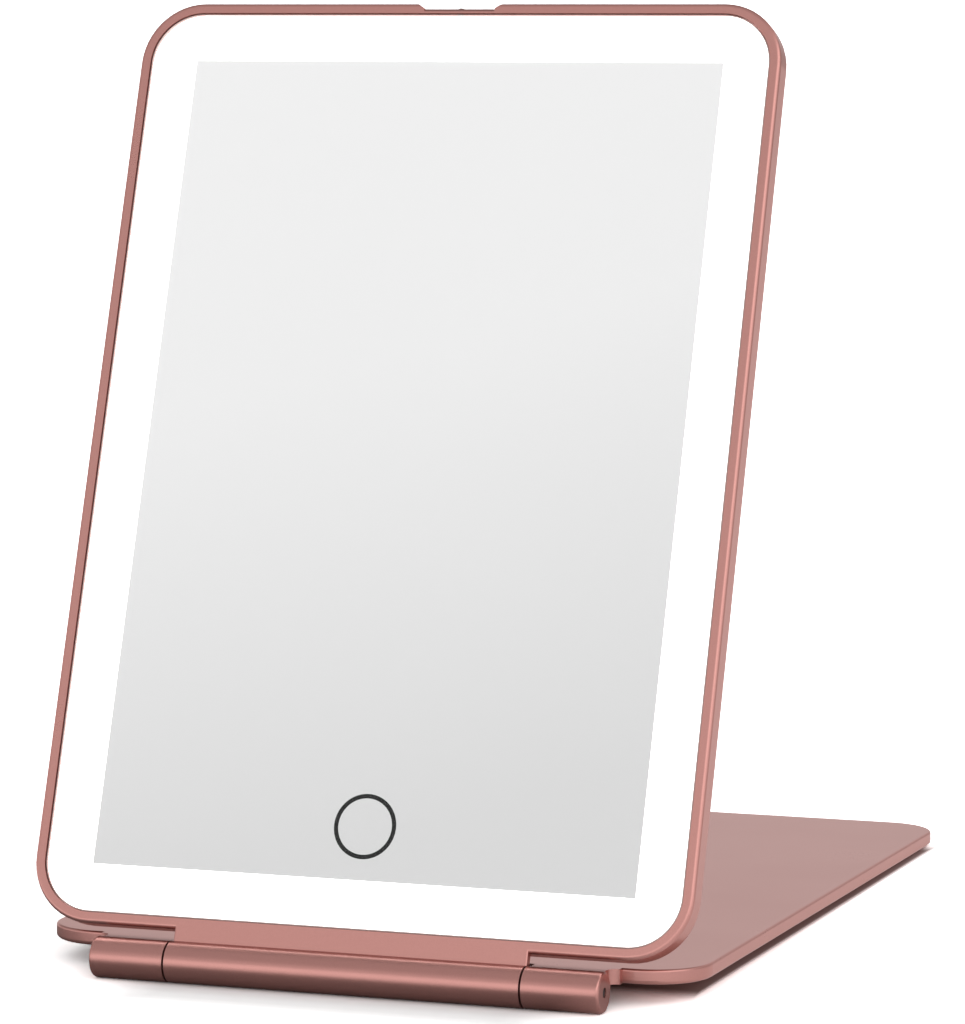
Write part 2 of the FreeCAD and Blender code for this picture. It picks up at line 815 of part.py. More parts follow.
# Control board with an arm that holds the charging socket, its chips and its screws
def make_control_board():
    base = new_body("control_board", seat_on_panel)
    arm_low, arm_high = centred(board_middle, dim.arm_width)
    arm_end = -half_width + dim.shell_wall + dim.arm_wall_gap
    slot_low, slot_high = centred(board_middle, dim.socket_width + dim.socket_clearance * 2)
    slot_end = -half_width + dim.socket_recess + dim.socket_length + dim.socket_clearance
    sketch = sketch_on(base, "XY_Plane", level(board_back))
    draw_polygon(
        sketch,
        [
            (board.left, board.low),
            (board.right, board.low),
            (board.right, board.high),
            (board.left, board.high),
            (board.left, arm_high),
            (arm_end, arm_high),
            (arm_end, slot_high),
            (slot_end, slot_high),
            (slot_end, slot_low),
            (arm_end, slot_low),
            (arm_end, arm_low),
            (board.left, arm_low),
        ],
    )
    add_pad(base, sketch, dim.board_thickness)
    holes = sketch_on(base, "XY_Plane", level(board_face))
    for spot in screw_spots():
        draw_circle(holes, spot, dim.screw_radius + dim.screw_clearance)
    cut_pocket(base, holes, dim.board_thickness)
    new_group("board_screws", [screw_at(spot) for spot in screw_spots()], seat_on_panel)
    make_chips()


def screw_at(spot):
    """One small pan-head screw through the board into its boss."""
    tip = level(floor_face - dim.screw_end_gap)
    neck = level(board_face)
    shank = post_between(spot, dim.screw_radius, tip, neck)
    head = post_between(spot, dim.screw_head_radius, neck, neck + dim.screw_head_height)
    return shank.fuse(head).removeSplitter()


def make_chips():
    """Charger, controller and driver chips in a row, and the driver's coil beside them."""
    foot = level(board_face)
    row_start = board.left + dim.chip_spacing
    chips = []
    for index in range(CHIP_COUNT):
        left, right = centred(row_start + dim.chip_spacing * index, dim.chip_side)
        low, high = centred(board_middle, dim.chip_side)
        chips.append(box_between((left, low, foot), (right, high, foot + dim.chip_height)))
    new_group("control_chips", chips, seat_on_panel)
    coil = new_body("driver_coil", seat_on_panel)
    left, right = centred(row_start + dim.chip_spacing * CHIP_COUNT, dim.coil_side)
    low, high = centred(board_middle, dim.coil_side)
    add_slab(coil, Rect(left, right, low, high), foot, dim.coil_height, dim.coil_side / 4)


# Charging socket: drawn metal shell, closed at its inner end, with the contact tongue inside
def make_charging_socket():
    centre = (board_middle, level(socket_centre))
    mouth = -half_width + dim.socket_recess
    shell = new_body("charging_socket_shell", seat_on_panel)
    outer = sketch_on(shell, "YZ_Plane", mouth)
    draw_stadium(outer, centre, dim.socket_width, dim.socket_height)
    add_pad(shell, outer, dim.socket_length)
    inner_width = dim.socket_width - dim.socket_wall * 2
    inner_height = dim.socket_height - dim.socket_wall * 2
    inner = sketch_on(shell, "YZ_Plane", mouth)
    draw_stadium(inner, centre, inner_width, inner_height)
    cut_pocket(shell, inner, dim.socket_length - dim.socket_wall, backwards=True)
    core = new_body("charging_socket_tongue", seat_on_panel)
    core_end = mouth + dim.socket_length - dim.socket_wall
    base = sketch_on(core, "YZ_Plane", core_end - dim.tongue_base)
    draw_stadium(base, centre, inner_width, inner_height)
    add_pad(core, base, dim.tongue_base)
    low, high = centred(board_middle, dim.tongue_width)
    under, over = centred(level(socket_centre), dim.tongue_thickness)
    blade = sketch_on(core, "YZ_Plane", core_end - dim.tongue_base)
    draw_polygon(blade, [(low, under), (high, under), (high, over), (low, over)])
    add_pad(core, blade, dim.tongue_length, backwards=True)


# Battery: pouch cell on its tape, with two leads to the board, and two more from the board to the lights
def make_battery():
    tape_face = floor_face - dim.tape_thickness
    tape = new_body("battery_tape", seat_on_panel)
    add_slab(tape, cell.inset(dim.tape_margin), level(floor_face), dim.tape_thickness)
    pouch = new_body("battery_cell", seat_on_panel)
    cell_face = tape_face - dim.cell_thickness
    add_slab(pouch, cell, level(tape_face), dim.cell_thickness, dim.cell_edge_radius)
    round_edges(pouch, face_outline(pouch, level(cell_face)), dim.cell_edge_radius)
    on_board = level(board_face) + dim.lead_radius
    for name, column in (("battery_lead_red", 0), ("battery_lead_black", 1)):
        start_x = -dim.lead_spacing * column
        end_x = board.right - dim.lead_inset - dim.lead_spacing * column
        middle = (cell.low + board.high) / 2
        end_y = board.high - dim.lead_overlap
        route = [
            (start_x, cell.low, on_board),
            (start_x, middle, on_board),
            (end_x, board.high, on_board),
            (end_x, end_y, on_board),
        ]
        new_group(name, [lead_tube(route, dim.lead_radius, dim.lead_bend)], seat_on_panel)


def make_led_leads():
    """Two short leads that step down from the control board to the light board."""
    on_board = level(board_face) + dim.lead_radius
    on_lights = level(led_board_face) + dim.lead_radius
    band_end = light_window.low
    leads = []
    for column in (1, 2):
        x = board.left + dim.chip_spacing + dim.lead_spacing * column
        route = [
            (x, board.low + dim.lead_overlap, on_board),
            (x, board.low - dim.lead_radius, on_board),
            (x, band_end - dim.lead_radius, on_lights),
            (x, band_end - dim.lead_overlap, on_lights),
        ]
        leads.append(lead_tube(route, dim.lead_radius, dim.lead_radius))
    new_group("led_leads", leads, seat_on_panel)


# Hinge: a pin pressed into each end knuckle of the cover, turning in a bush inside the panel's knuckle
def make_hinge():
    pin_length = dim.knuckle_length - dim.pin_recess + dim.knuckle_gap + dim.pin_grip
    left_pin = -barrel_end + dim.pin_recess
    right_pin = half_tab - dim.pin_grip
    for name, start in (("hinge_pin_left", left_pin), ("hinge_pin_right", right_pin)):
        pin = new_body(name, seat_on_cover)
        add_bar(pin, start, pin_length, dim.pin_radius)
    for name, start in (("hinge_bush_left", -half_tab), ("hinge_bush_right", half_tab - dim.bush_length)):
        bush = new_body(name, seat_on_panel)
        ring = sketch_on(bush, "YZ_Plane", start)
        draw_circle(ring, (ZERO, ZERO), dim.bush_radius)
        draw_circle(ring, (ZERO, ZERO), dim.pin_radius + dim.pin_clearance)
        add_pad(bush, ring, dim.bush_length)


# Cover: flat plate on the table, with a web and knuckle at each end of the hinge and a brim between the webs
def make_cover():
    plate = new_body("cover_plate", seat_on_cover)
    add_slab(plate, outline, cover_inner, dim.cover_thickness, dim.cover_corner_radius)
    round_edges(plate, face_outline(plate, cover_outer), dim.cover_top_radius)
    round_edges(plate, face_outline(plate, cover_inner), dim.cover_under_radius)
    web_root = dim.hinge_reach + dim.cover_top_radius
    for side in (-1, 1):
        add_web(plate, side, web_root)
    brim_reach = web_start + dim.overrun
    brim = sketch_on(plate, "XY_Plane", cover_inner)
    draw_polygon(brim, Rect(-brim_reach, brim_reach, dim.barrel_radius + dim.brim_gap, web_root).corners())
    add_pad(plate, brim, dim.cover_thickness)
    for start in (-barrel_end, web_start):
        add_bar(plate, start, dim.knuckle_length, dim.barrel_radius)
    round_edges(plate, edges_where(plate, is_barrel_end), dim.barrel_edge_radius)
    for start in (-barrel_end, web_start):
        cut_crease(plate, start)
        cut_bore(plate, start - dim.overrun, dim.knuckle_length + dim.overrun * 2, dim.pin_radius)
    for rect in pad_rects():
        seat_well = sketch_on(plate, "XY_Plane", cover_inner)
        draw_rounded(seat_well, rect, dim.pad_corner_radius)
        cut_pocket(plate, seat_well, dim.pad_seat, backwards=True)
    new_group("cover_pads", [pad_on(rect) for rect in pad_rects()], seat_on_cover)


def add_web(plate, side, root):
    """Join one end knuckle to the plate by a web that flares out to a shoulder at the plate's front edge."""
    inner = web_start * side
    outer = (barrel_end - dim.web_set_back) * side
    flared = outer + dim.web_flare * side
    flare_low = dim.hinge_reach - dim.web_shoulder - dim.web_flare
    web = sketch_on(plate, "XY_Plane", cover_inner)
    draw_polygon(
        web,
        [
            (inner, ZERO),
            (outer, ZERO),
            (outer, flare_low),
            (flared, flare_low),
            (flared, root),
            (inner, root),
        ],
    )
    add_pad(plate, web, dim.cover_thickness)
    hollow = sketch_on(plate, "XY_Plane", cover_outer)
    draw_circle(hollow, (flared, flare_low), dim.web_flare)
    cut_pocket(plate, hollow, dim.cover_thickness)


def is_barrel_end(edge):
    """True for the outer round edges of the two end knuckles."""
    middle = edge.BoundBox.Center
    flat = edge.BoundBox.XLength < MATCH
    round_edge = edge.BoundBox.ZLength > dim.barrel_radius.number
    return flat and round_edge and abs(abs(middle.x) - barrel_end.number) < MATCH


def cut_crease(plate, start):
    """Cut the fine groove where the plate's top runs into the barrel."""
    line = leg(dim.barrel_radius, cover_outer)
    low, high = centred(line, dim.crease_width)
    groove = sketch_on(plate, "YZ_Plane", start)
    over = cover_outer + dim.crease_depth
    draw_polygon(groove, [(low, over), (line, cover_outer - dim.crease_depth), (high, over)])
    cut_pocket(plate, groove, dim.knuckle_length, backwards=True)


def pad_rects():
    """Outlines of the four pads under the cover, near its corners."""
    half_pad = dim.pad_width / 2
    rows = (dim.hinge_reach + dim.pad_end_inset, pad_rear - dim.pad_length)
    rects = []
    for low in rows:
        for side in (-1, 1):
            middle = (half_width - dim.pad_side_inset) * side
            rects.append(Rect(middle - half_pad, middle + half_pad, low, low + dim.pad_length))
    return rects


def pad_on(rect):
    """One soft pad, let into its well in the cover's inner face."""
    block = box_between((rect.left, rect.low, pad_face), (rect.right, rect.high, cover_inner + dim.pad_seat))
    uprights = [edge for edge in block.Edges if edge.BoundBox.ZLength > dim.pad_stand.number]
    return block.makeFillet(dim.pad_corner_radius.number, uprights)


make_front_frame()
make_rear_shell()
make_pane()
make_touch_control()
make_indicator_lens()
make_led_board()
make_control_board()
make_charging_socket()
make_battery()
make_led_leads()
make_hinge()
make_cover()
doc.recompute()

for item in doc.Objects:
    if "Invalid" in item.State or "Error" in item.State:
        raise RuntimeError(f"{item.Name} failed: {item.State}")
for piece in pieces:
    if piece.Shape.isNull() or not piece.Shape.isValid():
        raise RuntimeError(f"{piece.Label} has no valid shape")

os.makedirs("parts", exist_ok=True)
for piece in pieces:
    piece.Shape.exportStep(f"parts/{piece.Label}.step")
    print(f"{piece.Label}: {len(piece.Shape.Solids)} solids, {piece.Shape.Volume:.2f} mm3")
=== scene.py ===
"""Dress a folding lighted travel mirror and set it up for a plain studio picture."""

import json
import logging
import math
from collections.abc import Callable
from dataclasses import dataclass
from enum import Enum
from functools import reduce
from typing import ClassVar, TypeAlias

import bpy
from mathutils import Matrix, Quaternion, Vector


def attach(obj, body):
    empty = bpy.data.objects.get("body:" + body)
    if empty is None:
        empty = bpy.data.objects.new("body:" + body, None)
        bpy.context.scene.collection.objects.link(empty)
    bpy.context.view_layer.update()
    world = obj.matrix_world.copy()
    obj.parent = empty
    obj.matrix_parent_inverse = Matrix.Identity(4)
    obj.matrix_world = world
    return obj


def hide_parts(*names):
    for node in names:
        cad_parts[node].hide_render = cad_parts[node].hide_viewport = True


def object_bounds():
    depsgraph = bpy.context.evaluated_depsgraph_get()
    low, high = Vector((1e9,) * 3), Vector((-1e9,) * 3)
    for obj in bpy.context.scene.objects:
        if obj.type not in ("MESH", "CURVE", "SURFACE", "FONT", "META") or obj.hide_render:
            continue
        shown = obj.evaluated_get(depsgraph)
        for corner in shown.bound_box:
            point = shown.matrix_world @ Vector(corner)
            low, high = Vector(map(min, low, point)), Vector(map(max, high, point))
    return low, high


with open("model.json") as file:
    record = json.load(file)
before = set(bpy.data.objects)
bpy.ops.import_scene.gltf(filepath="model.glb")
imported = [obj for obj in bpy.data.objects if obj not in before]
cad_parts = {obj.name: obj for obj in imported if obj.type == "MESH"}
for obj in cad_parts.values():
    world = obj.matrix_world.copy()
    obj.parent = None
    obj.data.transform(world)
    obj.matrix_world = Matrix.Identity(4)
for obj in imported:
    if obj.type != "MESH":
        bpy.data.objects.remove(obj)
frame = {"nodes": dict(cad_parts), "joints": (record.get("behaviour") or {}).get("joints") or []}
CAD_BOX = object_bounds()

LOG = logging.getLogger("mirror")

# The panel leans back from upright by this angle, and its pieces are modelled lying flat about the hinge
LEAN_DEG = 19.87
PANEL_TURN_DEG = 90.0 - LEAN_DEG
PANEL_BODY = "mirror_panel"

# Patterns are laid out by stretched coordinates, so their own scale stays at one
PATTERN_SCALE = 1.0

Triple: TypeAlias = tuple[float, float, float]
Colour: TypeAlias = Triple
Value: TypeAlias = "float | Triple | Socket"


def even(value: float) -> Triple:
    """One value three times, as a grey colour or an equal stretch."""
    return (value, value, value)


def shade(colour: Colour, share: float) -> Colour:
    """A colour dimmed to a share of itself."""
    red, green, blue = colour
    return (share * red, share * green, share * blue)


class Texture(Enum):
    """How the fine detail of a finish is laid out."""

    FLAKE = "flake"
    GRAIN = "grain"
    BRUSHED = "brushed"
    CRINKLE = "crinkle"
    TRACES = "traces"
    CONTACTS = "contacts"


class Socket:
    """A shader value that takes part in sums and products."""

    def __init__(self, graph: "Graph", output: bpy.types.NodeSocket) -> None:
        """Keep one output of a node and the graph that it is in."""
        self.graph = graph
        self.output = output

    def _math(self, operation: str, first: "Value", second: "Value") -> "Socket":
        """Add the Math node for one operation on two values."""
        return self.graph.add("ShaderNodeMath", {"operation": operation}, {0: first, 1: second})

    def __add__(self, other: "Value") -> "Socket":
        """This value plus another."""
        return self._math("ADD", self, other)

    def __radd__(self, other: "Value") -> "Socket":
        """Another value plus this one."""
        return self._math("ADD", other, self)

    def __sub__(self, other: "Value") -> "Socket":
        """This value less another."""
        return self._math("SUBTRACT", self, other)

    def __rsub__(self, other: "Value") -> "Socket":
        """Another value less this one."""
        return self._math("SUBTRACT", other, self)

    def __mul__(self, other: "Value") -> "Socket":
        """This value times another."""
        return self._math("MULTIPLY", self, other)

    def __rmul__(self, other: "Value") -> "Socket":
        """Another value times this one."""
        return self._math("MULTIPLY", other, self)


class Graph:
    """The node tree of one material or of the world."""

    def __init__(self, owner: bpy.types.Material | bpy.types.World) -> None:
        """Empty the owner's node tree.

        Args:
            owner: The material or world whose nodes are built.
        """
        owner.use_nodes = True
        self.tree = owner.node_tree
        self.tree.nodes.clear()

    def add(
        self,
        kind: str,
        settings: dict[str, object] | None = None,
        inputs: dict[str | int, "Value"] | None = None,
        output: str | int = 0,
    ) -> Socket:
        """Add a node, set it up and join its inputs.

        Args:
            kind: The node's type name.
            settings: Properties that are set first; "stops" holds a ramp's positions and colours.
            inputs: Values or links by socket name or number.
            output: The output that is handed back.

        Returns:
            The chosen output, ready for sums and links.
        """
        node = self.tree.nodes.new(kind)
        for name, setting in (settings or {}).items():
            if name == "stops":
                self._set_stops(node.color_ramp, setting)
            else:
                setattr(node, name, setting)
        for key, value in (inputs or {}).items():
            target = node.inputs[key]
            if isinstance(value, Socket):
                self.tree.links.new(value.output, target)
            elif target.type == "RGBA":
                target.default_value = (*value, 1.0)
            else:
                target.default_value = value
        return Socket(self, node.outputs[output]) if node.outputs else Socket(self, None)

    @staticmethod
    def _set_stops(ramp: bpy.types.ColorRamp, stops: list[tuple[float, Colour]]) -> None:
        """Give a ramp its stops, from the first to the last.

        Args:
            ramp: The ramp of a node.
            stops: Positions and colours.
        """
        while len(ramp.elements) < len(stops):
            ramp.elements.new(1.0)
        for element, (position, colour) in zip(ramp.elements, stops):
            element.position = position
            element.color = (*colour, 1.0)

    def mix(self, share: "Value", first: "Value", second: "Value") -> Socket:
        """Blend two colours.

        Args:
            share: How much of the second colour shows, from 0 to 1.
            first: The colour at share 0.
            second: The colour at share 1.

        Returns:
            The blended colour.
        """
        factor_in, first_in, second_in, colour_out = 0, 6, 7, 2
        inputs = {factor_in: share, first_in: first, second_in: second}
        return self.add("ShaderNodeMix", {"data_type": "RGBA"}, inputs, colour_out)

    def place(self, turn_deg: float, stretch: Triple) -> Socket:
        """Object coordinates, turned about the hinge's direction and then stretched.

        Args:
            turn_deg: Angle that the piece was turned by, undone here.
            stretch: Scale along the three turned axes.

        Returns:
            The coordinates for a texture.
        """
        spot = self.add("ShaderNodeTexCoord", {}, {}, "Object")
        turned = self.add(
            "ShaderNodeMapping",
            {"vector_type": "TEXTURE"},
            {"Vector": spot, "Rotation": (math.radians(turn_deg), 0.0, 0.0)},
        )
        return self.add("ShaderNodeVectorMath", {"operation": "MULTIPLY"}, {0: turned, 1: stretch})

    def noise(self, turn_deg: float, stretch: Triple, layers: float) -> Socket:
        """Soft random tones over a surface.

        Args:
            turn_deg: Angle that the piece was turned by.
            stretch: Scale along the three turned axes.
            layers: Number of finer layers.

        Returns:
            The tone, from 0 to 1.
        """
        inputs = {"Vector": self.place(turn_deg, stretch), "Scale": PATTERN_SCALE, "Detail": layers}
        return self.add("ShaderNodeTexNoise", {}, inputs)

    def close(self, inputs: dict[str, "Value"]) -> None:
        """End a material in one principled surface.

        Args:
            inputs: Values or links of the surface shader's sockets.
        """
        surface = self.add("ShaderNodeBsdfPrincipled", {}, inputs)
        self.add("ShaderNodeOutputMaterial", {}, {"Surface": surface})


@dataclass(frozen=True)
class Finish:
    """An opaque finish with fine detail in its colour, gloss and relief.

    Attributes:
        name: Plain name of the finish.
        colour: Main colour, linear.
        accent: Colour that the detail brings in, linear.
        texture: Layout of the detail.
        pitch: Size of the detail in metres.
        metallic: Share of metal in the surface.
        roughness: Mean roughness.
        swing: How far the detail moves the roughness.
        relief: Height of the detail in metres.
        coat: Weight of the clear coat.
        specular: Level of the plain gloss.
        edge_tint: Tint of the gloss at a glancing angle, linear.
        turn_deg: Turn of the pattern about the hinge's direction.
    """

    # Slow clouds that make every finish a little uneven
    CLOUDS_PER_METRE: ClassVar[float] = 28.0
    CLOUD_LAYERS: ClassVar[float] = 2.0
    CLOUD_SHADE: ClassVar[float] = 0.86
    CLOUD_COLOUR: ClassVar[float] = 0.12
    CLOUD_GLOSS: ClassVar[float] = 0.04
    # Relief and clear coat
    RELIEF_STRENGTH: ClassVar[float] = 0.5
    COAT_ROUGHNESS: ClassVar[float] = 0.18
    # Layouts of the fine detail
    GRAIN_LAYERS: ClassVar[float] = 3.0
    GRAIN_SHARPNESS: ClassVar[float] = 0.6
    BRUSH_DRAW: ClassVar[float] = 0.04
    BRUSH_LAYERS: ClassVar[float] = 4.0
    CREASE_GAIN: ClassVar[float] = 1.6
    TRACE_WIDTH: ClassVar[float] = 0.06
    TRACE_BLUR: ClassVar[float] = 0.2
    CONTACT_GAP: ClassVar[float] = 0.5

    name: str
    colour: Colour
    accent: Colour
    texture: Texture
    pitch: float
    metallic: float = 0.0
    roughness: float = 0.5
    swing: float = 0.08
    relief: float = 0.00001
    coat: float = 0.0
    specular: float = 0.5
    edge_tint: Colour = (1.0, 1.0, 1.0)
    turn_deg: float = PANEL_TURN_DEG

    def material(self) -> bpy.types.Material:
        """Build the finish as a node material.

        Returns:
            The new material.
        """
        material = bpy.data.materials.new(self.name)
        graph = Graph(material)
        detail = self._detail(graph)
        cloud = graph.noise(self.turn_deg, even(self.CLOUDS_PER_METRE), self.CLOUD_LAYERS)
        colour = graph.mix(detail, self.colour, self.accent)
        toned = graph.mix(cloud * self.CLOUD_COLOUR, colour, shade(self.colour, self.CLOUD_SHADE))
        least_roughness = self.roughness - self.swing / 2
        bump = graph.add(
            "ShaderNodeBump",
            {},
            {"Strength": self.RELIEF_STRENGTH, "Distance": self.relief, "Height": detail},
        )
        graph.close(
            {
                "Base Color": toned,
                "Metallic": self.metallic,
                "Roughness": detail * self.swing + cloud * self.CLOUD_GLOSS + least_roughness,
                "Specular IOR Level": self.specular,
                "Specular Tint": self.edge_tint,
                "Coat Weight": self.coat,
                "Coat Roughness": self.COAT_ROUGHNESS,
                "Normal": bump,
            }
        )
        return material

    def _detail(self, graph: Graph) -> Socket:
        """The fine pattern of the finish, from 0 to 1.

        Args:
            graph: The node tree that the pattern goes into.

        Returns:
            The pattern's value over the surface.
        """
        makers: dict[Texture, Callable[[Graph], Socket]] = {
            Texture.FLAKE: self._flake,
            Texture.GRAIN: self._grain,
            Texture.BRUSHED: self._brushed,
            Texture.CRINKLE: self._crinkle,
            Texture.TRACES: self._traces,
            Texture.CONTACTS: self._contacts,
        }
        return makers[self.texture](graph)

    def _spread(self, graph: Graph, along: float = 1.0) -> Socket:
        """Coordinates in steps of the detail's size, with the first axis drawn out if asked."""
        step = 1.0 / self.pitch
        return graph.place(self.turn_deg, (step * along, step, step))

    def _flake(self, graph: Graph) -> Socket:
        """Small flakes, each with its own tone.

        Args:
            graph: The node tree that the pattern goes into.

        Returns:
            The pattern's value over the surface.
        """
        inputs = {"Vector": self._spread(graph), "Scale": PATTERN_SCALE}
        cells = graph.add("ShaderNodeTexVoronoi", {}, inputs, "Color")
        return graph.add("ShaderNodeSeparateColor", {}, {"Color": cells}, "Red")

    def _grain(self, graph: Graph) -> Socket:
        """Soft moulded grain.

        Args:
            graph: The node tree that the pattern goes into.

        Returns:
            The pattern's value over the surface.
        """
        inputs = {
            "Vector": self._spread(graph),
            "Scale": PATTERN_SCALE,
            "Detail": self.GRAIN_LAYERS,
            "Roughness": self.GRAIN_SHARPNESS,
        }
        return graph.add("ShaderNodeTexNoise", {}, inputs)

    def _brushed(self, graph: Graph) -> Socket:
        """Fine lines along the hinge's direction.

        Args:
            graph: The node tree that the pattern goes into.

        Returns:
            The pattern's value over the surface.
        """
        lines = self._spread(graph, self.BRUSH_DRAW)
        inputs = {"Vector": lines, "Scale": PATTERN_SCALE, "Detail": self.BRUSH_LAYERS}
        return graph.add("ShaderNodeTexNoise", {}, inputs)

    def _crinkle(self, graph: Graph) -> Socket:
        """Creases between flat facets.

        Args:
            graph: The node tree that the pattern goes into.

        Returns:
            The pattern's value over the surface.
        """
        inputs = {"Vector": self._spread(graph), "Scale": PATTERN_SCALE}
        edges = graph.add("ShaderNodeTexVoronoi", {"feature": "DISTANCE_TO_EDGE"}, inputs)
        return edges * self.CREASE_GAIN

    def _traces(self, graph: Graph) -> Socket:
        """Printed tracks under a circuit board's coating.

        Args:
            graph: The node tree that the pattern goes into.

        Returns:
            The pattern's value over the surface.
        """
        inputs = {
            "Vector": self._spread(graph),
            "Scale": PATTERN_SCALE,
            "Mortar Size": self.TRACE_WIDTH,
            "Mortar Smooth": self.TRACE_BLUR,
        }
        return graph.add("ShaderNodeTexBrick", {}, inputs, "Fac")

    def _contacts(self, graph: Graph) -> Socket:
        """A row of bright strips across the tongue of the charging socket.

        Args:
            graph: The node tree that the pattern goes into.

        Returns:
            The pattern's value over the surface.
        """
        upright = graph.add("ShaderNodeSeparateXYZ", {}, {"Vector": self._spread(graph)}, "Y")
        strips = graph.add("ShaderNodeMath", {"operation": "FRACT"}, {0: upright})
        return graph.add("ShaderNodeMath", {"operation": "GREATER_THAN"}, {0: strips, 1: self.CONTACT_GAP})


@dataclass(frozen=True)
class ClearFinish:
    """A see-through finish with faint wiping marks.

    Attributes:
        name: Plain name of the finish.
        tint: Colour of what little shows of the surface, linear.
        cover: Share of the surface that isn't see-through.
        roughness: Roughness of the clean surface.
    """

    # Long faint marks across the pane
    MARKS_PER_METRE: ClassVar[Triple] = (9.0, 38.0, 38.0)
    MARK_LAYERS: ClassVar[float] = 5.0
    MARK_SHADE: ClassVar[float] = 0.9
    MARK_GLOSS: ClassVar[float] = 0.03
    # Shares of the cover between the marks and in them
    LEAST_COVER: ClassVar[float] = 0.8
    MARK_COVER: ClassVar[float] = 0.4

    name: str
    tint: Colour
    cover: float
    roughness: float

    def material(self) -> bpy.types.Material:
        """Build the finish as a node material.

        Returns:
            The new material.
        """
        material = bpy.data.materials.new(self.name)
        graph = Graph(material)
        marks = graph.noise(PANEL_TURN_DEG, self.MARKS_PER_METRE, self.MARK_LAYERS)
        graph.close(
            {
                "Base Color": graph.mix(marks, self.tint, shade(self.tint, self.MARK_SHADE)),
                "Roughness": marks * self.MARK_GLOSS + self.roughness,
                "Alpha": marks * (self.cover * self.MARK_COVER) + self.cover * self.LEAST_COVER,
            }
        )
        return material


@dataclass(frozen=True)
class SilverFinish:
    """A mirror coating with the slightest unevenness.

    Attributes:
        name: Plain name of the finish.
        colour: Reflected tint, linear.
    """

    HAZE_PER_METRE: ClassVar[float] = 14.0
    HAZE_LAYERS: ClassVar[float] = 3.0
    HAZE_SHADE: ClassVar[float] = 0.985
    HAZE_GLOSS: ClassVar[float] = 0.012
    LEAST_ROUGHNESS: ClassVar[float] = 0.01

    name: str
    colour: Colour

    def material(self) -> bpy.types.Material:
        """Build the finish as a node material.

        Returns:
            The new material.
        """
        material = bpy.data.materials.new(self.name)
        graph = Graph(material)
        haze = graph.noise(PANEL_TURN_DEG, even(self.HAZE_PER_METRE), self.HAZE_LAYERS)
        graph.close(
            {
                "Base Color": graph.mix(haze, self.colour, shade(self.colour, self.HAZE_SHADE)),
                "Metallic": 1.0,
                "Roughness": haze * self.HAZE_GLOSS + self.LEAST_ROUGHNESS,
            }
        )
        return material


@dataclass(frozen=True)
class LitFinish:
    """An opal sheet that glows from the lights behind it.

    Attributes:
        name: Plain name of the finish.
        colour: Colour of the sheet, linear.
        glow: Colour of the light, linear.
        strength: Strength of the light.
        pitch: Distance between the lights behind the sheet in metres.
    """

    # Share of the light halfway between two lights
    BETWEEN_LIGHTS: ClassVar[float] = 0.94
    # Fine grain of the sheet
    GRAINS_PER_METRE: ClassVar[float] = 900.0
    GRAIN_LAYERS: ClassVar[float] = 2.0
    GRAIN_SHADE: ClassVar[float] = 0.96
    GRAIN_GLOSS: ClassVar[float] = 0.1
    LEAST_ROUGHNESS: ClassVar[float] = 0.5

    name: str
    colour: Colour
    glow: Colour
    strength: float
    pitch: float

    def material(self) -> bpy.types.Material:
        """Build the finish as a node material.

        Returns:
            The new material.
        """
        material = bpy.data.materials.new(self.name)
        graph = Graph(material)
        spots = graph.add(
            "ShaderNodeTexVoronoi",
            {},
            {
                "Vector": graph.place(PANEL_TURN_DEG, even(1.0 / self.pitch)),
                "Scale": PATTERN_SCALE,
                "Randomness": 0.0,
            },
            "Distance",
        )
        grain = graph.noise(PANEL_TURN_DEG, even(self.GRAINS_PER_METRE), self.GRAIN_LAYERS)
        graph.close(
            {
                "Base Color": graph.mix(grain, self.colour, shade(self.colour, self.GRAIN_SHADE)),
                "Roughness": grain * self.GRAIN_GLOSS + self.LEAST_ROUGHNESS,
                "Emission Color": graph.mix(spots, self.glow, shade(self.glow, self.BETWEEN_LIGHTS)),
                "Emission Strength": self.strength,
            }
        )
        return material


@dataclass(frozen=True)
class Reach:
    """How the painted shade that the floor throws into reflections changes with the distance from the
    object's box.

    Attributes:
        start: Distance where the painted near shade ends, below zero under the object.
        end: Distance where the change ends.
        share: How much of the far tone is reached there.
    """

    start: float
    end: float
    share: float = 1.0


@dataclass(frozen=True)
class PaintedShadeStrip:
    """A strip of painted shade on the floor close to the object.

    Attributes:
        tone: Painted shade colour of the paper in the strip, as the picture shows it.
        middle: Place of the strip's middle, across and along.
        half: Half its width and half its length.
        fade: Distances over which the shade ends, across and along.
        slant: How far the strip moves across for each metre towards the back.
    """

    tone: Colour
    middle: tuple[float, float]
    half: tuple[float, float]
    fade: tuple[float, float]
    slant: float = 0.0


